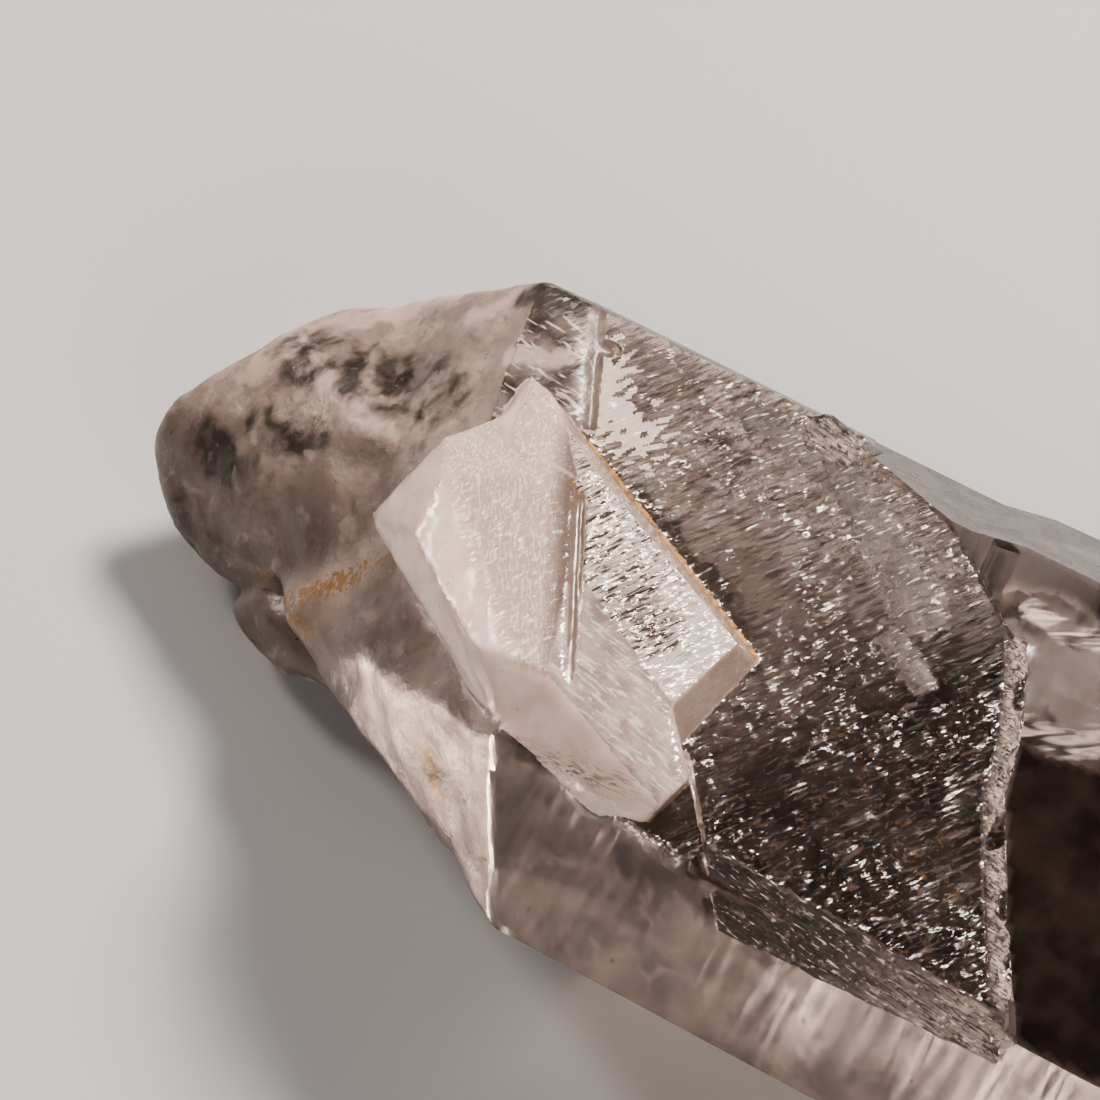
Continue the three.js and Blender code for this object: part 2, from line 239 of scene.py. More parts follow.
def points_inside(ring, spacing):
    """A honeycomb of points over a ring of flat points, clear of the ring itself."""
    rim = KDTree(len(ring))
    for i, point in enumerate(ring):
        rim.insert((*point, 0.0), i)
    rim.balance()
    low = [min(point[axis] for point in ring) for axis in (0, 1)]
    high = [max(point[axis] for point in ring) for axis in (0, 1)]
    row_step = spacing * math.sqrt(3) / 2
    found = []
    for row in range(1, int((high[1] - low[1]) / row_step) + 1):
        y = low[1] + row * row_step
        start = low[0] + (spacing / 2 if row % 2 else 0.0)
        for column in range(int((high[0] - start) / spacing) + 1):
            x = start + column * spacing
            if rim.find((x, y, 0.0))[2] > RIM_GAP * spacing:
                found.append(Vector((x, y)))
    return found


def divide_edges(stone, kinds, points):
    """Adds even points along each edge, and notes them from the edge's first corner on."""
    on_edge = {}
    for edge in stone.edges:
        step = min(SPACING[kinds[face.index]] for face in edge.link_faces)
        count = max(1, round(edge.calc_length() / step))
        first, last = edge.verts
        start = len(points)
        points.extend(first.co.lerp(last.co, i / count) for i in range(1, count))
        on_edge[edge.index] = (first.index, list(range(start, len(points))))
    return on_edge


def ring_of(face, on_edge):
    """All points round a face, in order."""
    ring = []
    for loop in face.loops:
        first, inner = on_edge[loop.edge.index]
        ring.append(loop.vert.index)
        ring.extend(inner if loop.vert.index == first else reversed(inner))
    return ring


def fill_face(face, ring, spacing, points):
    """Fine triangles over a flat face. Their new points are added to the list of points."""
    across = face.normal.orthogonal().normalized()
    upward = face.normal.cross(across)
    height = face.verts[0].co.dot(face.normal)
    flat = [Vector((points[i].dot(across), points[i].dot(upward))) for i in ring]
    extra = points_inside(flat, spacing)
    result = delaunay_2d_cdt(flat + extra, [], [list(range(len(ring)))], 0, 1e-6, True)
    spots, _, small_faces, sources, _, owners = result
    index_of = {}
    for i, given in enumerate(sources):
        on_ring = [source for source in given if source < len(ring)]
        if on_ring:
            index_of[i] = ring[on_ring[0]]
    triangles = []
    for small_face, owner in zip(small_faces, owners):
        if not owner:
            continue
        for i in small_face:
            if i not in index_of:
                index_of[i] = len(points)
                points.append(across * spots[i].x + upward * spots[i].y + face.normal * height)
        triangles.append([index_of[i] for i in small_face])
    return triangles


def fine_mesh(stone):
    """Points, triangles and each triangle's kind of surface."""
    kinds = [
        kind_of_face(face.calc_center_median(), face.normal, face.calc_area())
        for face in stone.faces
    ]
    points = [vert.co.copy() for vert in stone.verts]
    on_edge = divide_edges(stone, kinds, points)
    triangles = []
    triangle_kinds = []
    for face in stone.faces:
        kind = kinds[face.index]
        found = fill_face(face, ring_of(face, on_edge), SPACING[kind], points)
        triangles.extend(found)
        triangle_kinds.extend([kind] * len(found))
    return points, triangles, triangle_kinds


cad_faces = flat_faces(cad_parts["crystal"])
stone_points, stone_triangles, stone_kinds = fine_mesh(cad_faces)
cad_faces.free()
places = np.array([tuple(point) for point in stone_points])
corners = np.array(stone_triangles)

# The columns of a table of places
X, Y, Z = 0, 1, 2


def shares_of(names):
    """How much of the surface round each point is of the named kinds, from 0 to 1."""
    of_kind = np.array([kind in names for kind in stone_kinds], float)
    total = np.zeros(len(places))
    count = np.zeros(len(places))
    for corner in corners.T:
        np.add.at(total, corner, of_kind)
        np.add.at(count, corner, 1.0)
    return total / np.maximum(count, 1.0)


def near_line(line, reach, spots=places):
    """1 on a line of places, falling to 0 at the given distance from it."""
    nearest = np.full(len(spots), np.inf)
    ends = [np.array(place, float) for place in line]
    for first, last in zip(ends, ends[1:]):
        along = last - first
        share = np.clip((spots - first) @ along / (along @ along), 0.0, 1.0)
        gap = np.linalg.norm(spots - first - share[:, None] * along, axis=1)
        nearest = np.minimum(nearest, gap)
    return np.clip(1.0 - nearest / reach, 0.0, 1.0)


def strongest(lines):
    """How near each point is to the nearest of several lines, as near_line tells it."""
    return np.max([near_line(line, reach) for line, reach in lines], axis=0)


def past_line(start, end, fade):
    """0 right of a line seen from above, rising to 1 at the given distance left of it."""
    along_x = end[X] - start[X]
    along_y = end[Y] - start[Y]
    across = along_x * (places[:, Y] - start[Y]) - along_y * (places[:, X] - start[X])
    return np.clip(across / math.hypot(along_x, along_y) / fade, 0.0, 1.0)


# The ways in which streaks, bands, cracks and lines run, seen from above
STREAK_DIRECTION = math.radians(57)
BAND_DIRECTION = math.radians(121)
WAVE_DIRECTION = math.radians(62)
VEIL_DIRECTION = math.radians(31)
CRACK_DIRECTION = math.radians(-8)
EDGE_DIRECTION = math.radians(9)
BEVEL_DIRECTION = math.radians(18)
ACROSS_STONE = math.radians(90)


def drawn_out(point, along, across, seed, direction=STREAK_DIRECTION):
    """Uneven patches that are drawn out in one direction, from -1 to 1."""
    cos, sin = math.cos(direction), math.sin(direction)
    x = (point.x * cos + point.y * sin) / along
    y = (point.y * cos - point.x * sin) / across
    return noise.noise(Vector((x, y, point.z / across + seed)))


# Iron has filled the seam where the small crystal stands on the plate. A ragged veil lies
# in the clear terrace. Beside the channel the plate has a painted glare, and in a few
# patches it has kept its smooth growth face. Each of these has its own finish.
SEAM = [(-2.4, 7.85, 24.0), (14.0, -0.15, 24.0)]
SEAM_WIDTH = 0.24
VEIL = [(27.5, 8.4, 22.8), (31.0, 8.2, 22.8), (34.5, 9.2, 22.8), (40.0, 11.0, 22.8)]
VEIL_WIDTH = 4.8
GLARE = [(-4.4, 13.6, 24.0), (-2.4, 10.6, 24.0), (0.4, 9.6, 24.0)]
GLARE_WIDTH = 2.9
SATIN_PATCHES = [
    ([(5.6, 14.4, 24.0), (9.4, 14.0, 24.0)], 1.6),
    ([(12.2, 13.2, 24.0), (16.4, 11.0, 24.0), (20.8, 7.2, 24.0)], 2.0),
    ([(20.2, 5.0, 24.0), (23.0, 3.4, 24.0)], 1.2),
]


def rename_kinds_near(line, reach, old, new, ragged=0.0):
    """Gives the faces near a line another kind, up to an edge that follows the streaks."""
    middles = places[corners].mean(axis=1)
    near = near_line(line, reach, middles)
    for i in np.nonzero(near)[0]:
        streaks = drawn_out(Vector(middles[i]), along=0.9, across=0.4, seed=21.0)
        edge = ragged * (0.5 + streaks)
        if stone_kinds[i] == old and near[i] > edge:
            stone_kinds[i] = new


rename_kinds_near(SEAM, SEAM_WIDTH, "plate", "seam")
rename_kinds_near(VEIL, VEIL_WIDTH, "terrace", "veil")
rename_kinds_near(GLARE, GLARE_WIDTH, "plate", "glare", ragged=1.0)
for line, reach in SATIN_PATCHES:
    rename_kinds_near(line, reach, "plate", "satin", ragged=0.55)
PLATE_KINDS = ["plate", "glare", "satin"]


def point_normals():
    """The way the surface looks at each point, as the mean of its triangles by area."""
    first, second, third = (places[corners[:, i]] for i in range(3))
    across = np.cross(second - first, third - first)
    normals = np.zeros_like(places)
    for corner in corners.T:
        np.add.at(normals, corner, across)
    return normals / np.linalg.norm(normals, axis=1, keepdims=True)


# Handling has rounded the broken base, the channel, the ridge and the small crystal,
# most of all along its margin. Points there are drawn towards their neighbours.
WEAR_ROUNDS = 40
WEAR = {
    "base": 0.12,
    "cap": 0.1,
    "channel": 0.2,
    "margin": 0.5,
    "flank": 0.03,
    "groove": 0.25,
    "glassy": 0.12,
    "milky": 0.03,
    "ridge": 0.04,
}


def wear_down():
    """Draws each point a little towards the mean of its neighbours, many times over."""
    pull = np.zeros(len(places))
    for kind, strength in WEAR.items():
        pull += shares_of([kind]) * strength
    ends = np.concatenate([corners[:, [0, 1]], corners[:, [1, 2]], corners[:, [2, 0]]])
    count = np.zeros(len(places))
    np.add.at(count, ends[:, 0], 1.0)
    for _ in range(WEAR_ROUNDS):
        total = np.zeros_like(places)
        np.add.at(total, ends[:, 0], places[ends[:, 1]])
        places[:] += (total / count[:, None] - places) * pull[:, None]


wear_down()

# The plate's largest pits are nearly filled again by the finer relief that follows
PIT_DEPTH_KEPT = 0.06
DEEPEST_PIT = 0.9
pit_depth = shares_of(PLATE_KINDS) * np.clip(PLATE_TOP - places[:, Z], 0.0, DEEPEST_PIT)
places[:, Z] += pit_depth * (1.0 - PIT_DEPTH_KEPT)


# The relief of each surface is the height that is added to it, in millimetres
def lumps(point, size, seed):
    """Uneven lumps of one size, from -1 to 1."""
    return noise.noise(point / size + Vector((seed, 2.0 * seed, 0.0)))


def stepped(value, steps):
    """Turns a smooth slope into flat treads with steep risers between them."""
    scaled = value * steps
    tread = math.floor(scaled)
    rise = min(1.0, max(0.0, (scaled - tread - 0.35) / 0.3))
    return (tread + rise) / steps


smooth_patches = strongest(SATIN_PATCHES)


def etched_relief(point):
    patch = min(1.2, max(0.1, 0.6 + 1.5 * lumps(point, size=4.5, seed=3.0)))
    figures = stepped(drawn_out(point, along=1.2, across=0.44, seed=1.0), steps=4.0)
    grit = drawn_out(point, along=0.5, across=0.22, seed=2.0)
    swell = lumps(point, size=5.5, seed=15.0)
    return patch * (0.13 * figures + 0.08 * grit) + 0.16 * swell - 0.08


def bright_relief(point):
    waves = drawn_out(point, along=1.5, across=0.38, seed=4.0, direction=WAVE_DIRECTION)
    ripples = drawn_out(point, along=0.7, across=0.22, seed=5.0, direction=WAVE_DIRECTION)
    return 0.12 * stepped(waves, steps=4.0) + 0.06 * ripples


def milky_relief(point):
    bands = drawn_out(point, along=6.0, across=0.9, seed=17.0, direction=BAND_DIRECTION)
    grains = stepped(lumps(point, size=0.4, seed=6.0), steps=3.0)
    frost = max(0.0, bands + 0.2) * grains
    return 0.07 * frost + 0.04 * bands + 0.05 * lumps(point, size=2.2, seed=7.0)


def bevel_relief(point):
    wrinkles = drawn_out(point, along=1.6, across=0.5, seed=8.0, direction=BEVEL_DIRECTION)
    return 0.2 * stepped(wrinkles, steps=3.0) + 0.06 * lumps(point, size=0.5, seed=9.0)


def base_relief(point):
    broad = 0.4 * lumps(point, size=4.6, seed=10.0) + 0.14 * lumps(point, size=2.1, seed=11.0)
    chips = stepped(lumps(point, size=1.1, seed=12.0), steps=3.0)
    return broad + 0.05 * chips - 0.1


def cap_relief(point):
    return 0.1 * lumps(point, size=2.4, seed=18.0) + 0.03 * lumps(point, size=0.7, seed=19.0)


def ridge_relief(point):
    blocks = stepped(lumps(point, size=0.9, seed=13.0), steps=3.0)
    return 0.4 * blocks + 0.14 * lumps(point, size=0.4, seed=16.0) - 0.1


def growth_relief(point):
    return 0.02 * lumps(point, size=5.0, seed=14.0)


RELIEFS = [
    (PLATE_KINDS, etched_relief),
    (["bright"], bright_relief),
    (["milky", "margin", "flank", "groove"], milky_relief),
    (["bevel"], bevel_relief),
    (["base"], base_relief),
    (["cap", "channel"], cap_relief),
    (["ridge"], ridge_relief),
    (["terrace", "veil", "near", "far", "glassy"], growth_relief),
]

# The smooth patches of the plate keep a quarter of its etching. Near the ground the
# relief only cuts in, so that the stone still rests as it did.
RESTING_HEIGHT = 0.4
normals = point_normals()
heights = np.zeros(len(places))
for kinds, relief in RELIEFS:
    share = shares_of(kinds)
    if relief is etched_relief:
        share = share * np.clip(1.6 - 2.0 * smooth_patches, 0.25, 1.0)
    for i in np.nonzero(share)[0]:
        heights[i] += share[i] * relief(Vector(places[i]))
resting = places[:, Z] < RESTING_HEIGHT
heights[resting] = np.minimum(heights[resting], 0.0)
places += normals * heights[:, None]
places[:, Z] = np.maximum(places[:, Z], 0.0)


# Masks, from 0 to 1, tell where the surface is etched, frosted, stained with iron and so on,
# and where shade and highlights are painted into its colour. Most are drawn along lines of
# places, each with how far round it the mask reaches.
BASE_STAINS = [
    ([(-20.8, -3.0, 8.8), (-18.4, -3.0, 8.6)], 1.3),
    ([(-16.4, -4.9, 10.9), (-13.6, -6.4, 12.0)], 1.5),
    ([(-15.0, -4.3, 12.6), (-12.8, -3.5, 14.8), (-11.6, -3.0, 16.2)], 1.4),
    ([(-11.6, -3.0, 16.2), (-10.3, -2.2, 18.0)], 0.8),
    ([(-1.1, -12.5, 17.5), (1.0, -14.1, 16.5)], 1.0),
]
GROOVE_CRUMB = [(0.6, 2.3, 29.0), (1.3, 1.3, 28.9)]
WINDOWS = [
    ([(-24.0, 9.4, 15.1), (-18.9, 9.1, 17.1), (-12.6, 7.8, 20.4)], 3.6),
    ([(-23.9, 4.0, 13.6), (-19.7, 4.0, 15.7)], 2.2),
    ([(-27.4, 2.6, 10.4), (-23.6, 1.6, 11.9)], 2.4),
    ([(-27.0, -0.8, 6.4), (-23.3, -2.4, 5.8)], 2.8),
    ([(-10.8, 14.9, 23.8), (-7.6, 16.2, 24.0)], 2.0),
]
PALE_PLACES = [
    ([(-24.3, 9.3, 14.9), (-21.4, 7.9, 16.1), (-15.1, 4.9, 18.6), (-12.2, 3.2, 20.4)], 1.3),
    ([(-26.5, 7.4, 13.5), (-24.5, 11.5, 14.5), (-18.7, 15.3, 17.2), (-14.5, 16.5, 19.5)], 1.9),
    ([(-14.0, 13.5, 21.0), (-11.4, 15.4, 22.8)], 1.5),
    ([(-9.2, 10.7, 24.0), (-6.2, 12.0, 24.0)], 1.2),
    ([(-20.8, -3.0, 8.8), (-13.6, -6.4, 12.0), (-4.0, -11.9, 15.0)], 1.1),
]
# Where shade is painted into the colour, each line with how far round it reaches
SHADED_PLACES = [
    ([(2.6, 5.9, 24.0), (9.1, 2.9, 24.0), (12.4, 1.2, 24.0)], 1.5),
    ([(4.4, 12.0, 24.0), (6.4, 11.4, 24.0)], 1.8),
    ([(6.7, -2.8, 27.9), (9.6, -3.7, 27.3)], 2.4),
    ([(5.6, -13.2, 24.6), (12.4, -12.0, 25.5)], 1.3),
    ([(14.8, -14.2, 22.3), (18.5, -13.9, 22.6), (25.0, -15.0, 21.2)], 2.6),
]
# Where highlights are painted into the colour: on the small crystal's etched face, in streaks on
# the terrace and over the glare beside the channel
PAINTED_HIGHLIGHT_PLACES = [
    ([(10.3, -7.1, 27.2), (11.9, -3.7, 26.8), (12.5, -1.5, 26.5), (10.1, 0.0, 27.0)], 2.6),
    ([(28.6, 4.2, 22.8), (31.6, 4.6, 22.8), (34.0, 6.2, 22.8), (38.0, 8.0, 22.8)], 1.5),
    ([(26.0, 11.6, 22.8), (29.0, 11.4, 22.8), (32.0, 12.6, 22.8)], 1.2),
    (GLARE, 2.0 * GLARE_WIDTH),
]
RIDGE_CREST = [
    (26.7, 9.0, 24.45),
    (29.3, 3.0, 24.45),
    (30.5, -1.2, 24.45),
    (33.7, -7.0, 24.45),
    (36.9, -12.2, 24.45),
]
NEAR_BREAK = [(-6.8, -6.8, 17.8), (0.5, -14.0, 15.0)]
NEAR_BREAK_WIDTH = 7.5
SHOULDER_LUMP_END = 20.0
FROST_EDGE = ((-8.5, 0.5), (2.5, -9.5))


def along_stone(start, end):
    """Rises from 0 to 1 between two distances, going towards the point and the near side."""
    way = places[:, X] - 0.6 * places[:, Y]
    return np.clip((way - start) / (end - start), 0.0, 1.0)


plate = shares_of(PLATE_KINDS)
crest = shares_of(["ridge"]) * np.clip(3.0 * near_line(RIDGE_CREST, 1.0), 0.0, 1.0)
to_groove = np.array([abs(beside_groove(x, y)) for x, y in places[:, :Z]])
groove_shade = shares_of(["milky", "groove"]) * np.clip(1.5 - to_groove / 1.1, 0.0, 1.0)
# Painted shade on the base's faces that look towards the near side, and over the near break
facing_near = np.clip(-1.6 * normals[:, Y] - 0.4, 0.0, 0.9)
near_break_shade = shares_of(["base"]) * np.maximum(facing_near, near_line(NEAR_BREAK, NEAR_BREAK_WIDTH))
shoulder_lump = 0.6 * shares_of(["ridge"]) * (places[:, X] < SHOULDER_LUMP_END)
sparkling = shares_of(["milky"]) * past_line(*FROST_EDGE, 1.2)
masks = {
    "etched": np.maximum.reduce([
        plate * np.clip(1.5 - 2.0 * smooth_patches, 0.12, 1.0),
        shares_of(["bevel", "bright", "ridge"]),
        sparkling,
        0.35 * shares_of(["glassy", "flank", "cap"]),
    ]),
    # Pale frost along the ridge's crest, the shoulder and the bevel, partly painted sheen
    "frost_and_sheen": np.maximum.reduce([
        crest,
        shoulder_lump,
        0.75 * shares_of(["bevel"]) * along_stone(35.0, 47.0),
    ]),
    "sparkling": sparkling,
    "frosted": 0.34 * plate,
    "stained": np.maximum.reduce([
        near_line(SEAM, 0.7),
        strongest(BASE_STAINS),
        0.8 * near_line(GROOVE_CRUMB, 0.9),
        0.27 * along_stone(8.0, 26.0) * plate,
    ]),
    "window": strongest(WINDOWS) * shares_of(["base", "cap"]),
    "pale": strongest(PALE_PLACES),
    "shaded": np.maximum(strongest(SHADED_PLACES), near_break_shade),
    "painted_highlight": strongest(PAINTED_HIGHLIGHT_PLACES),
    "smoky": along_stone(3.0, 22.0) * shares_of(["plate", "terrace"]),
    "veiled": near_line(VEIL, VEIL_WIDTH) * shares_of(["veil"]),
    "under": shares_of(["under"]),
    # Painted shade in the small crystal's groove and on its flank
    "groove_and_flank_shade": np.maximum(0.7 * shares_of(["flank"]), groove_shade),
}

# Edges sharper than this stay crisp
SHARP_ANGLE = math.radians(24)


def stone_mesh():
    mesh = bpy.data.meshes.new("quartz_crystal")
    in_frame = (places + np.array(DRAWING_ORIGIN)) * MM
    mesh.from_pydata(in_frame.tolist(), [], corners.tolist())
    for name, values in masks.items():
        mesh.attributes.new(name, "FLOAT", "POINT").data.foreach_set("value", values)
    mesh.polygons.foreach_set("use_smooth", [True] * len(mesh.polygons))
    mesh.set_sharp_from_angle(angle=SHARP_ANGLE)
    return mesh


quartz = bpy.data.objects.new("quartz_crystal", stone_mesh())
bpy.context.scene.collection.objects.link(quartz)


# The stone's finishes
# Clear quartz on the prism, the plate and the point, milky quartz in the small crystal,
# and worn, cloudy quartz at the broken base. Iron has stained the cracks and the contacts.
# Some finishes also hold painted shade, painted highlights and painted glints.
def add_node(tree, kind, inputs=None, **settings):
    node = tree.nodes.new(kind)
    for name, value in settings.items():
        setattr(node, name, value)
    for name, value in (inputs or {}).items():
        if isinstance(value, bpy.types.NodeSocket):
            tree.links.new(value, node.inputs[name])
        else:
            node.inputs[name].default_value = value
    return node


def new_group(name, inputs, outputs):
    tree = bpy.data.node_groups.new(name, "ShaderNodeTree")
    for label, value in inputs.items():
        socket = tree.interface.new_socket(label, in_out="INPUT", socket_type="NodeSocketFloat")
        socket.default_value = value
    for label in outputs:
        tree.interface.new_socket(label, in_out="OUTPUT", socket_type="NodeSocketFloat")
    return tree, tree.nodes.new("NodeGroupInput"), tree.nodes.new("NodeGroupOutput")


def in_millimetres(tree):
    place = add_node(tree, "ShaderNodeTexCoord")
    return add_node(
        tree,
        "ShaderNodeVectorMath",
        {0: place.outputs["Object"], "Scale": 1 / MM},
        operation="SCALE",
    ).outputs[0]


def drawn_out_place(tree, given):
    """The place, turned and squeezed so that a pattern is drawn out in one direction."""
    turn = add_node(tree, "ShaderNodeCombineXYZ", {"Z": given.outputs["Direction"]})
    size = add_node(
        tree,
        "ShaderNodeCombineXYZ",
        {"X": given.outputs["Length"], "Y": given.outputs["Width"], "Z": given.outputs["Width"]},
    )
    turned = add_node(
        tree,
        "ShaderNodeVectorRotate",
        {"Vector": in_millimetres(tree), "Rotation": turn.outputs[0]},
        rotation_type="EULER_XYZ",
        invert=True,
    )
    return add_node(
        tree,
        "ShaderNodeVectorMath",
        {0: turned.outputs[0], 1: size.outputs[0]},
        operation="DIVIDE",
    ).outputs[0]


def etch_figures_group():
    """Small flat figures, each tilted its own way and all drawn out in one direction."""
    inputs = {"Length": 0.6, "Width": 0.25, "Direction": STREAK_DIRECTION}
    tree, given, result = new_group("etch figures", inputs, ["Height"])
    scaled = drawn_out_place(tree, given)
    cells = add_node(tree, "ShaderNodeTexVoronoi", {"Vector": scaled, "Scale": 1.0})
    from_middle = add_node(
        tree,
        "ShaderNodeVectorMath",
        {0: scaled, 1: cells.outputs["Position"]},
        operation="SUBTRACT",
    )
    tilt = add_node(
        tree,
        "ShaderNodeVectorMath",
        {0: cells.outputs["Color"], 1: (0.5, 0.5, 0.5)},
        operation="SUBTRACT",
    )
    facet = add_node(
        tree,
        "ShaderNodeVectorMath",
        {0: from_middle.outputs[0], 1: tilt.outputs[0]},
        operation="DOT_PRODUCT",
    )
    ripple = add_node(
        tree,
        "ShaderNodeTexNoise",
        {"Vector": scaled, "Scale": 0.7, "Detail": 3.0, "Roughness": 0.6},
    )
    height = add_node(
        tree,
        "ShaderNodeMath",
        {0: ripple.outputs["Fac"], 1: 0.3, 2: facet.outputs["Value"]},
        operation="MULTIPLY_ADD",
    )
    tree.links.new(height.outputs[0], result.inputs["Height"])
    return tree


def streak_group():
    """Patches drawn out in one direction, from 0 to 1."""
    inputs = {
        "Length": 1.2,
        "Width": 0.2,
        "Direction": STREAK_DIRECTION,
        "Low": 0.4,
        "High": 0.6,
    }
    tree, given, result = new_group("quartz streaks", inputs, ["Mask"])
    streaks = add_node(
        tree,
        "ShaderNodeTexNoise",
        {"Vector": drawn_out_place(tree, given), "Scale": 1.0, "Detail": 2.0, "Distortion": 0.6},
    )
    mask = add_node(
        tree,
        "ShaderNodeMapRange",
        {
            "Value": streaks.outputs["Fac"],
            "From Min": given.outputs["Low"],
            "From Max": given.outputs["High"],
        },
    )
    tree.links.new(mask.outputs["Result"], result.inputs["Mask"])
    return tree


def cloud_group():
    """Soft uneven patches, from 0 to 1."""
    inputs = {"Size": 3.0, "Low": 0.4, "High": 0.6}
    tree, given, result = new_group("quartz clouds", inputs, ["Mask"])
    scaled = add_node(
        tree,
        "ShaderNodeMath",
        {0: 1.0, 1: given.outputs["Size"]},
        operation="DIVIDE",
    )
    patches = add_node(
        tree,
        "ShaderNodeTexNoise",
        {
            "Vector": in_millimetres(tree),
            "Scale": scaled.outputs[0],
            "Detail": 5.0,
            "Distortion": 0.4,
        },
    )
    mask = add_node(
        tree,
        "ShaderNodeMapRange",
        {
            "Value": patches.outputs["Fac"],
            "From Min": given.outputs["Low"],
            "From Max": given.outputs["High"],
        },
        interpolation_type="SMOOTHSTEP",
    )
    tree.links.new(mask.outputs["Result"], result.inputs["Mask"])
    return tree


def growth_lines_group():
    """The habit's fine lines, which run round the prism."""
    line_length = 14.0
    tree, given, result = new_group("growth lines", {"Spacing": 0.6}, ["Height"])
    size = add_node(
        tree,
        "ShaderNodeCombineXYZ",
        {"X": given.outputs["Spacing"], "Y": line_length, "Z": line_length},
    )
    scaled = add_node(
        tree,
        "ShaderNodeVectorMath",
        {0: in_millimetres(tree), 1: size.outputs[0]},
        operation="DIVIDE",
    )
    lines = add_node(
        tree,
        "ShaderNodeTexNoise",
        {"Vector": scaled.outputs[0], "Scale": 1.0, "Detail": 2.0},
    )
    tree.links.new(lines.outputs["Fac"], result.inputs["Height"])
    return tree


ETCH_FIGURES = etch_figures_group()
STREAKS = streak_group()
CLOUDS = cloud_group()
GROWTH_LINES = growth_lines_group()


def use_group(tree, group, inputs=None):
    node = tree.nodes.new("ShaderNodeGroup")
    node.node_tree = group
    for name, value in (inputs or {}).items():
        node.inputs[name].default_value = value
    return node.outputs[0]


def cloudy(tree, size, low, high):
    return use_group(tree, CLOUDS, {"Size": size, "Low": low, "High": high})


def streaky(tree, length, width, low, high, direction=STREAK_DIRECTION):
    inputs = {"Length": length, "Width": width, "Direction": direction, "Low": low, "High": high}
    return use_group(tree, STREAKS, inputs)


def mask_of(tree, name):
    return add_node(tree, "ShaderNodeAttribute", attribute_name=name).outputs["Fac"]


def maths(tree, operation, *values):
    inputs = dict(enumerate(values))
    return add_node(tree, "ShaderNodeMath", inputs, operation=operation).outputs[0]


def held(tree, value):
    return add_node(tree, "ShaderNodeClamp", {"Value": value}).outputs[0]


# A mix of colours has its two colours and its result at these sockets
FIRST_COLOUR, SECOND_COLOUR = 6, 7
MIXED_COLOUR = 2


def blend_colours(tree, mask, first, second):
    mix = add_node(tree, "ShaderNodeMix", {0: mask}, data_type="RGBA")
    for index, value in ((FIRST_COLOUR, first), (SECOND_COLOUR, second)):
        if isinstance(value, bpy.types.NodeSocket):
            tree.links.new(value, mix.inputs[index])
        else:
            mix.inputs[index].default_value = (*value, 1.0)
    return mix.outputs[MIXED_COLOUR]


def ragged_mask(tree, name, fewest):
    """A soft mask broken up into ragged patches, the fewer the higher the number."""
    ragged = cloudy(tree, size=1.6, low=0.25, high=0.75)
    pulled = maths(tree, "MULTIPLY", ragged, -fewest)
    return held(tree, maths(tree, "MULTIPLY_ADD", mask_of(tree, name), 3.0, pulled))


def bumped(tree, height, depth, under=None):
    """The surface's normal with a relief, laid over another relief where one is given."""
    inputs = {"Height": height, "Distance": depth * MM, "Strength": 1.0}
    if under is not None:
        inputs["Normal"] = under
    return add_node(tree, "ShaderNodeBump", inputs).outputs[0]


def etched_normal(tree, depth, length, width):
    figures = use_group(tree, ETCH_FIGURES, {"Length": length, "Width": width})
    etched = maths(tree, "MULTIPLY", figures, mask_of(tree, "etched"))
    deeper_below = maths(tree, "MULTIPLY_ADD", mask_of(tree, "under"), 3.0, 1.0)
    growth = use_group(tree, GROWTH_LINES, {"Spacing": 0.7})
    lines = maths(tree, "MULTIPLY", growth, deeper_below)
    return bumped(tree, etched, depth, bumped(tree, lines, depth=0.014))


def plate_normal(tree):
    return etched_normal(tree, depth=0.1, length=0.9, width=0.15)


def side_normal(tree):
    return etched_normal(tree, depth=0.1, length=0.5, width=0.14)


def worn_normal(tree):
    grain = cloudy(tree, size=0.45, low=0.2, high=0.8)
    return bumped(tree, grain, depth=0.025)


def uneven_roughness(size, smoothest, roughest):
    """A roughness that changes in soft patches between two values."""

    def roughness(tree):
        patches = cloudy(tree, size, low=0.3, high=0.7)
        return maths(tree, "MULTIPLY_ADD", patches, roughest - smoothest, smoothest)

    return roughness


# Roughnesses that several finishes share
SILVERY_ROUGHNESS = uneven_roughness(size=0.8, smoothest=0.06, roughest=0.16)
HAZY_ROUGHNESS = uneven_roughness(size=2.0, smoothest=0.08, roughest=0.20)
WORN_ROUGHNESS = uneven_roughness(size=2.0, smoothest=0.26, roughest=0.46)
SATIN_ROUGHNESS = uneven_roughness(size=0.7, smoothest=0.5, roughest=0.65)

IRON_OCHRE = (0.33, 0.185, 0.08)


def stain(tree):
    """Specks where the stain mask is low, which run together where it is high."""
    ragged = cloudy(tree, size=0.36, low=0.2, high=0.8)
    threshold = maths(tree, "MULTIPLY_ADD", mask_of(tree, "stained"), -0.9, 0.95)
    return held(tree, maths(tree, "MULTIPLY", maths(tree, "SUBTRACT", ragged, threshold), 5.0))


# How far light goes in milky quartz: furthest for red, least for blue
MILK_DEPTH = 3.0 * MM
MILK_COLOUR = (1.0, 0.799, 0.675)
QUARTZ_IOR = 1.544


def quartz_material(name, colour, roughness, normal, transmission, milk=0.0):
    material = bpy.data.materials.new(name)
    material.use_nodes = True
    tree = material.node_tree
    shader = tree.nodes["Principled BSDF"]
    shader.inputs["IOR"].default_value = QUARTZ_IOR
    shader.inputs["Transmission Weight"].default_value = transmission
    shader.inputs["Subsurface Weight"].default_value = milk
    shader.inputs["Subsurface Scale"].default_value = MILK_DEPTH
    shader.inputs["Subsurface Radius"].default_value = MILK_COLOUR
    tree.links.new(colour(tree), shader.inputs["Base Color"])
    tree.links.new(roughness(tree), shader.inputs["Roughness"])
    tree.links.new(normal(tree), shader.inputs["Normal"])
    return material


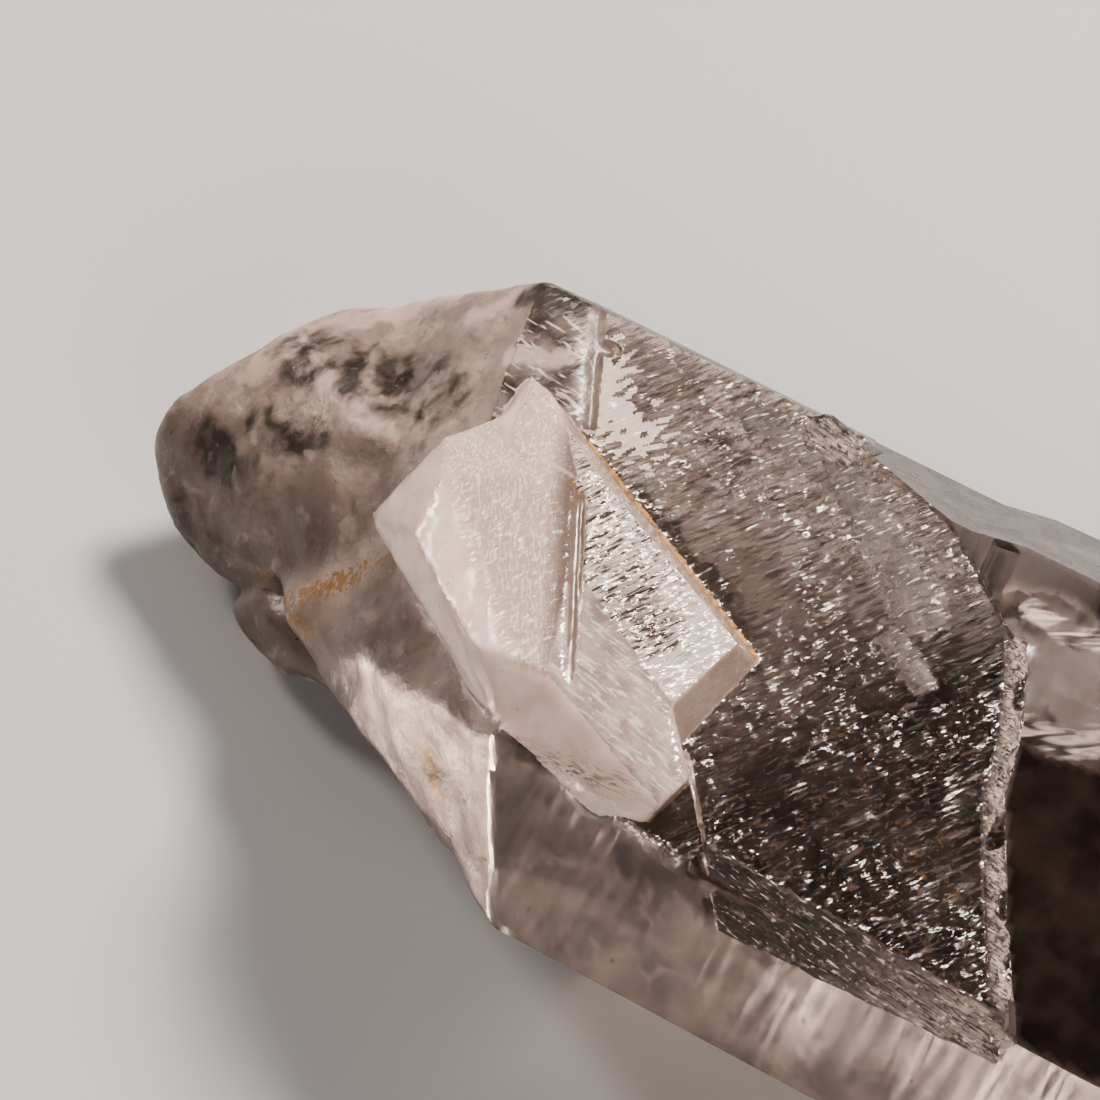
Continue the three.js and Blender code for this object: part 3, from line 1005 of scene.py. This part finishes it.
def clear_colour(tree):
    """Clear quartz, smoky towards the point, pitted and flecked where etched, with painted glints
    and shade.
    """
    clouds = cloudy(tree, size=2.6, low=0.3, high=0.7)
    clean = blend_colours(tree, clouds, (0.54, 0.445, 0.40), (0.88, 0.75, 0.68))
    smoky = blend_colours(tree, clouds, (0.012, 0.009, 0.008), (0.07, 0.055, 0.047))
    body = blend_colours(tree, mask_of(tree, "smoky"), clean, smoky)
    patches = cloudy(tree, size=2.4, low=0.36, high=0.62)
    patchy = maths(tree, "MULTIPLY", patches, mask_of(tree, "etched"))
    sparse = maths(tree, "MULTIPLY_ADD", mask_of(tree, "smoky"), -0.6, 1.0)
    # The pale flecks are partly the etch figures' frost and partly painted glints
    flecks = streaky(tree, length=1.5, width=0.32, low=0.56, high=0.66)
    lit = maths(tree, "MULTIPLY", maths(tree, "MULTIPLY", flecks, patchy), sparse)
    flecked = blend_colours(tree, lit, body, (0.80, 0.69, 0.63))
    pits = streaky(tree, length=1.2, width=0.3, low=0.47, high=0.37)
    dark = maths(tree, "MULTIPLY", pits, maths(tree, "MULTIPLY", mask_of(tree, "etched"), 0.6))
    pitted = blend_colours(tree, dark, flecked, (0.022, 0.017, 0.015))
    # Painted shade beside the seam and over dark patches of the plate
    shade = maths(tree, "MULTIPLY", ragged_mask(tree, "shaded", 2.2), 0.8)
    shaded = blend_colours(tree, shade, pitted, (0.07, 0.053, 0.044))
    return blend_colours(tree, stain(tree), shaded, IRON_OCHRE)


def clear_roughness(tree):
    """Smooth, but frosted over on the plate and satin on the faces below."""
    frost = maths(tree, "MULTIPLY", mask_of(tree, "frosted"), 0.5)
    satin = maths(tree, "MULTIPLY_ADD", mask_of(tree, "under"), 0.12, 0.03)
    return maths(tree, "ADD", frost, satin)


CLEAR = quartz_material(
    "clear_quartz", clear_colour, clear_roughness, plate_normal, transmission=1.0
)
ETCHED = quartz_material(
    "etched_quartz", clear_colour, clear_roughness, plate_normal, transmission=0.9
)


def satin_colour(tree):
    """The plate's own growth face, matt and even, with a few small pits."""
    clouds = cloudy(tree, size=1.8, low=0.3, high=0.7)
    body = blend_colours(tree, clouds, (0.055, 0.043, 0.038), (0.115, 0.092, 0.081))
    pits = streaky(tree, length=0.8, width=0.26, low=0.46, high=0.40)
    pitted = blend_colours(tree, pits, body, (0.035, 0.027, 0.023))
    flecks = streaky(tree, length=1.0, width=0.2, low=0.62, high=0.67)
    return blend_colours(tree, flecks, pitted, (0.74, 0.63, 0.575))


SATIN = quartz_material(
    "satin_quartz", satin_colour, SATIN_ROUGHNESS, worn_normal, transmission=0.3
)


def hazy_colour(tree):
    """The near face: a soft haze lies under its smooth surface."""
    clouds = cloudy(tree, size=4.0, low=0.36, high=0.64)
    haze = blend_colours(tree, clouds, (0.17, 0.147, 0.14), (0.39, 0.325, 0.295))
    wisps = cloudy(tree, size=1.6, low=0.55, high=0.8)
    wispy = blend_colours(tree, wisps, haze, (0.48, 0.40, 0.365))
    # Painted shade on the near face below the small crystal
    shade = ragged_mask(tree, "shaded", 1.4)
    shaded = blend_colours(tree, shade, wispy, (0.06, 0.048, 0.042))
    specks = cloudy(tree, size=0.32, low=0.64, high=0.72)
    return blend_colours(tree, specks, shaded, (0.12, 0.085, 0.068))


HAZY = quartz_material(
    "hazy_quartz", hazy_colour, HAZY_ROUGHNESS, plate_normal, transmission=0.8
)


def far_colour(tree):
    """The far face: calm and grey, crossed by the dark ladder lines of the habit, with painted
    glints.
    """
    clouds = cloudy(tree, size=8.0, low=0.3, high=0.7)
    body = blend_colours(tree, clouds, (0.24, 0.205, 0.186), (0.38, 0.325, 0.297))
    ladder = streaky(tree, length=9.0, width=0.28, low=0.48, high=0.38, direction=ACROSS_STONE)
    lined = blend_colours(tree, maths(tree, "MULTIPLY", ladder, 0.7), body, (0.06, 0.05, 0.044))
    # Painted glints in small pale specks
    specks = cloudy(tree, size=0.4, low=0.66, high=0.72)
    return blend_colours(tree, specks, lined, (0.78, 0.67, 0.61))


FAR_ROUGHNESS = uneven_roughness(size=2.0, smoothest=0.22, roughest=0.34)
FAR = quartz_material("far_quartz", far_colour, FAR_ROUGHNESS, side_normal, transmission=0.9)


def veiled_colour(tree):
    """The clear, dark terrace, with a ragged veil and streaks of painted highlight."""
    clouds = cloudy(tree, size=2.2, low=0.3, high=0.7)
    dark = blend_colours(tree, clouds, (0.03, 0.0244, 0.0225), (0.12, 0.094, 0.0855))
    veil = ragged_mask(tree, "veiled", 1.7)
    veiled = blend_colours(tree, veil, dark, (0.27, 0.23, 0.211))
    # Painted highlights in streaks where the terrace would catch the light
    streaks = streaky(tree, length=2.8, width=0.6, low=0.42, high=0.66, direction=VEIL_DIRECTION)
    bright = maths(tree, "MULTIPLY", streaks, ragged_mask(tree, "painted_highlight", 1.2))
    return blend_colours(tree, bright, veiled, (0.94, 0.83, 0.77))


VEILED = quartz_material(
    "veiled_quartz", veiled_colour, HAZY_ROUGHNESS, plate_normal, transmission=0.6
)


def milky_colour(tree):
    """The small crystal: milky, frosted on top, stained below, with painted shade in its groove
    and on its flank.
    """
    clouds = cloudy(tree, size=2.2, low=0.35, high=0.62)
    milk = blend_colours(tree, clouds, (0.87, 0.69, 0.61), (0.98, 0.815, 0.735))
    under_frost = blend_colours(tree, mask_of(tree, "sparkling"), milk, (0.74, 0.585, 0.515))
    grains = streaky(tree, length=0.6, width=0.15, low=0.52, high=0.60, direction=BAND_DIRECTION)
    frost = maths(tree, "MULTIPLY", grains, ragged_mask(tree, "sparkling", 2.4))
    frosted = blend_colours(tree, frost, under_frost, (1.0, 0.93, 0.88))
    specks = cloudy(tree, size=0.3, low=0.68, high=0.74)
    speckled = blend_colours(tree, specks, frosted, (0.42, 0.31, 0.261))
    stripes = streaky(tree, length=7.0, width=0.12, low=0.5, high=0.4, direction=EDGE_DIRECTION)
    with_groove_shade = blend_colours(tree, mask_of(tree, "groove_and_flank_shade"), speckled, (0.25, 0.195, 0.168))
    shade = maths(tree, "MULTIPLY", stripes, mask_of(tree, "shaded"))
    shaded = blend_colours(tree, shade, with_groove_shade, (0.26, 0.21, 0.187))
    return blend_colours(tree, stain(tree), shaded, IRON_OCHRE)


MILKY_ROUGHNESS = uneven_roughness(size=1.2, smoothest=0.1, roughest=0.28)
MILKY = quartz_material(
    "milky_quartz", milky_colour, MILKY_ROUGHNESS, side_normal, transmission=0.3, milk=0.3
)


def worn_colour(tree):
    """The broken base: grained, veined, stained and windowed, with painted shade on its near side.
    """
    clouds = cloudy(tree, size=3.2, low=0.35, high=0.65)
    body = blend_colours(tree, clouds, (0.36, 0.284, 0.246), (0.60, 0.484, 0.42))
    grain = cloudy(tree, size=0.9, low=0.3, high=0.55)
    grainy = blend_colours(tree, grain, (0.33, 0.262, 0.228), body)
    pale = ragged_mask(tree, "pale", 1.9)
    ridged = blend_colours(tree, pale, grainy, (0.72, 0.573, 0.5))
    hollow = cloudy(tree, size=1.9, low=0.68, high=0.36)
    dark = maths(tree, "MULTIPLY", ragged_mask(tree, "window", 0.8), hollow)
    # Painted shade on the base's near side
    painted_shade_share = maths(tree, "MULTIPLY", mask_of(tree, "shaded"), 0.9)
    painted_shaded = blend_colours(tree, painted_shade_share, ridged, (0.085, 0.066, 0.057))
    seen = blend_colours(tree, dark, painted_shaded, (0.05, 0.04, 0.035))
    veins = cloudy(tree, size=1.5, low=0.56, high=0.78)
    veined = blend_colours(tree, veins, seen, (0.50, 0.41, 0.36))
    return blend_colours(tree, stain(tree), veined, IRON_OCHRE)


WORN = quartz_material(
    "worn_quartz", worn_colour, WORN_ROUGHNESS, worn_normal, transmission=0.35, milk=0.3
)


def cap_colour(tree):
    """The smooth cap beside the base: dark, with pale gleams."""
    clouds = cloudy(tree, size=1.8, low=0.38, high=0.62)
    body = blend_colours(tree, clouds, (0.06, 0.047, 0.041), (0.26, 0.208, 0.183))
    gleams = streaky(tree, length=2.0, width=0.4, low=0.57, high=0.65, direction=CRACK_DIRECTION)
    gleaming = blend_colours(tree, gleams, body, (0.86, 0.74, 0.67))
    pale = ragged_mask(tree, "pale", 1.9)
    paler = blend_colours(tree, pale, gleaming, (0.62, 0.51, 0.455))
    dark = ragged_mask(tree, "window", 1.2)
    return blend_colours(tree, dark, paler, (0.05, 0.04, 0.035))


CAP = quartz_material(
    "cap_quartz", cap_colour, WORN_ROUGHNESS, side_normal, transmission=0.45, milk=0.1
)


def channel_colour(tree):
    """The worn floor of the channel."""
    clouds = cloudy(tree, size=1.6, low=0.3, high=0.7)
    body = blend_colours(tree, clouds, (0.16, 0.125, 0.108), (0.27, 0.213, 0.187))
    return blend_colours(tree, mask_of(tree, "shaded"), body, (0.07, 0.0564, 0.0495))


CHANNEL = quartz_material(
    "channel_quartz", channel_colour, WORN_ROUGHNESS, worn_normal, transmission=0.5
)


def waves_and_glare_colour(tree):
    """Etched waves, pale and dark, brightened by painted glare where they would throw the light
    back.
    """
    waves = streaky(tree, length=1.5, width=0.19, low=0.38, high=0.54, direction=WAVE_DIRECTION)
    # Painted highlight and painted shade lighten and darken the waves
    lit = maths(tree, "ADD", waves, mask_of(tree, "painted_highlight"))
    pale_and_sheen = held(tree, maths(tree, "MULTIPLY_ADD", mask_of(tree, "shaded"), -0.6, lit))
    return blend_colours(tree, pale_and_sheen, (0.12, 0.0987, 0.09), (0.97, 0.884, 0.828))


WAVES_AND_GLARE = quartz_material(
    "waves_and_glare_quartz", waves_and_glare_colour, SILVERY_ROUGHNESS, side_normal, transmission=0.45
)


def crackled_colour(tree):
    """Broken, frosted edges: pale frost and painted sheen in places, fine dark cracks, painted
    glints.
    """
    clouds = cloudy(tree, size=1.2, low=0.25, high=0.5)
    pale_and_sheen = maths(tree, "MULTIPLY", clouds, mask_of(tree, "frost_and_sheen"))
    body = blend_colours(tree, pale_and_sheen, (0.022, 0.018, 0.016), (0.60, 0.50, 0.45))
    cracks = streaky(tree, length=1.6, width=0.13, low=0.5, high=0.42, direction=CRACK_DIRECTION)
    cracked = blend_colours(tree, cracks, body, (0.05, 0.04, 0.036))
    # Painted glints
    glints = streaky(tree, length=1.1, width=0.16, low=0.63, high=0.68, direction=CRACK_DIRECTION)
    return blend_colours(tree, glints, cracked, (0.86, 0.75, 0.69))


CRACKLED = quartz_material(
    "crackled_quartz", crackled_colour, SATIN_ROUGHNESS, side_normal, transmission=0.4
)


def seam_colour(tree):
    """Iron in the seam, from dark rust to ochre."""
    clouds = cloudy(tree, size=0.6, low=0.35, high=0.6)
    return blend_colours(tree, clouds, (0.10, 0.058, 0.03), (0.42, 0.22, 0.08))


IRON_ROUGHNESS = uneven_roughness(size=0.4, smoothest=0.5, roughest=0.7)
IRON = quartz_material("iron_seam", seam_colour, IRON_ROUGHNESS, worn_normal, transmission=0.05)


def glassy_colour(tree):
    """The glassy lower end of the small crystal."""
    clouds = cloudy(tree, size=1.4, low=0.3, high=0.7)
    body = blend_colours(tree, clouds, (0.50, 0.42, 0.385), (0.80, 0.71, 0.665))
    ripples = streaky(tree, length=2.0, width=0.24, low=0.53, high=0.62, direction=CRACK_DIRECTION)
    rippled = blend_colours(tree, ripples, body, (1.0, 0.95, 0.92))
    return blend_colours(tree, mask_of(tree, "shaded"), rippled, (0.15, 0.125, 0.11))


GLASSY = quartz_material(
    "glassy_quartz", glassy_colour, SILVERY_ROUGHNESS, side_normal, transmission=0.5, milk=0.2
)

# Which kinds of surface have each finish
FINISHES = {
    CLEAR: ["terrace", "under", "point"],
    ETCHED: ["plate"],
    VEILED: ["veil"],
    MILKY: ["milky", "margin", "flank", "groove"],
    IRON: ["seam"],
    WORN: ["base"],
    CAP: ["cap"],
    SATIN: ["satin"],
    HAZY: ["near"],
    FAR: ["far"],
    CHANNEL: ["channel"],
    WAVES_AND_GLARE: ["bright", "glare"],
    CRACKLED: ["ridge", "bevel"],
    GLASSY: ["glassy"],
}
finish_of = {}
for slot, (material, kinds) in enumerate(FINISHES.items()):
    quartz.data.materials.append(material)
    finish_of.update({kind: slot for kind in kinds})
quartz.data.polygons.foreach_set("material_index", [finish_of[kind] for kind in stone_kinds])

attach(quartz, "root")
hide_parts("crystal")


# The studio
# A plain pale floor, a large soft light behind the stone and dimmer ones in front and at
# the left, and the camera, which looks down on the stone. Sizes here are in metres.
floor_mesh = bpy.data.meshes.new("floor")
FLOOR_HALF = 1.5
# A hair of air lies between the stone and the floor, as it does under a real stone
AIR_GAP = 0.04 * MM
floor_mesh.from_pydata(
    [
        (side * FLOOR_HALF, end * FLOOR_HALF, -AIR_GAP)
        for side, end in ((-1, -1), (1, -1), (1, 1), (-1, 1))
    ],
    [],
    [(0, 1, 2, 3)],
)
floor = bpy.data.objects.new("floor", floor_mesh)
bpy.context.scene.collection.objects.link(floor)
floor_material = bpy.data.materials.new("pale_floor")
floor_material.use_nodes = True
floor_shader = floor_material.node_tree.nodes["Principled BSDF"]
floor_shader.inputs["Base Color"].default_value = (0.46, 0.485, 0.50, 1.0)
floor_shader.inputs["Roughness"].default_value = 0.7
floor_mesh.materials.append(floor_material)

world = bpy.data.worlds.new("studio")
world.use_nodes = True
background = world.node_tree.nodes["Background"]
background.inputs["Color"].default_value = (0.9, 0.93, 1.0, 1.0)
background.inputs["Strength"].default_value = 0.07
bpy.context.scene.world = world

MIDDLE = Vector((0.0, 0.0, 0.012))
WARM = (1.0, 0.87, 0.785)


def aimed_back(target, away, distance):
    """Stands off from a target in one direction, and looks back at it."""
    turn = away.to_track_quat("Z", "Y").to_matrix().to_4x4()
    return Matrix.Translation(target + away * distance) @ turn


def soft_light(name, direction, distance, size, power):
    light = bpy.data.lights.new(name, "AREA")
    light.shape = "RECTANGLE"
    light.size, light.size_y = size
    light.energy = power
    light.color = WARM
    lamp = bpy.data.objects.new(name, light)
    lamp.matrix_world = aimed_back(MIDDLE, Vector(direction).normalized(), distance)
    bpy.context.scene.collection.objects.link(lamp)


soft_light("back", (0.1, 0.62, 0.78), distance=0.8, size=(0.24, 0.19), power=11.5)
soft_light("front", (0.7, -0.55, 0.55), distance=0.9, size=(0.5, 0.4), power=3.7)
soft_light("left", (-0.7, 0.1, 0.7), distance=0.9, size=(0.16, 0.16), power=2.8)

cycles = bpy.context.scene.cycles
cycles.max_bounces = 9
cycles.diffuse_bounces = 2
cycles.glossy_bounces = 3
cycles.transmission_bounces = 8

bpy.context.scene.view_settings.look = "AgX - Medium High Contrast"

# The camera stands off from the middle of the plate, to the right and above the near side
camera_data = bpy.data.cameras.new("camera")
camera_data.sensor_width = 36.0
camera_data.lens = 150.2
camera_data.clip_start = 0.01
camera = bpy.data.objects.new("camera", camera_data)
CAMERA_AIM = (Vector((0.0, 0.0, PLATE_TOP)) + DRAWING_ORIGIN) * MM
CAMERA_DISTANCE = 0.27
CAMERA_SIDE = math.radians(31)
CAMERA_RISE = math.radians(58)
camera_way = Vector((
    math.sin(CAMERA_SIDE) * math.cos(CAMERA_RISE),
    -math.cos(CAMERA_SIDE) * math.cos(CAMERA_RISE),
    math.sin(CAMERA_RISE),
))
camera.matrix_world = aimed_back(CAMERA_AIM, camera_way, CAMERA_DISTANCE)
bpy.context.scene.collection.objects.link(camera)
bpy.context.scene.camera = camera
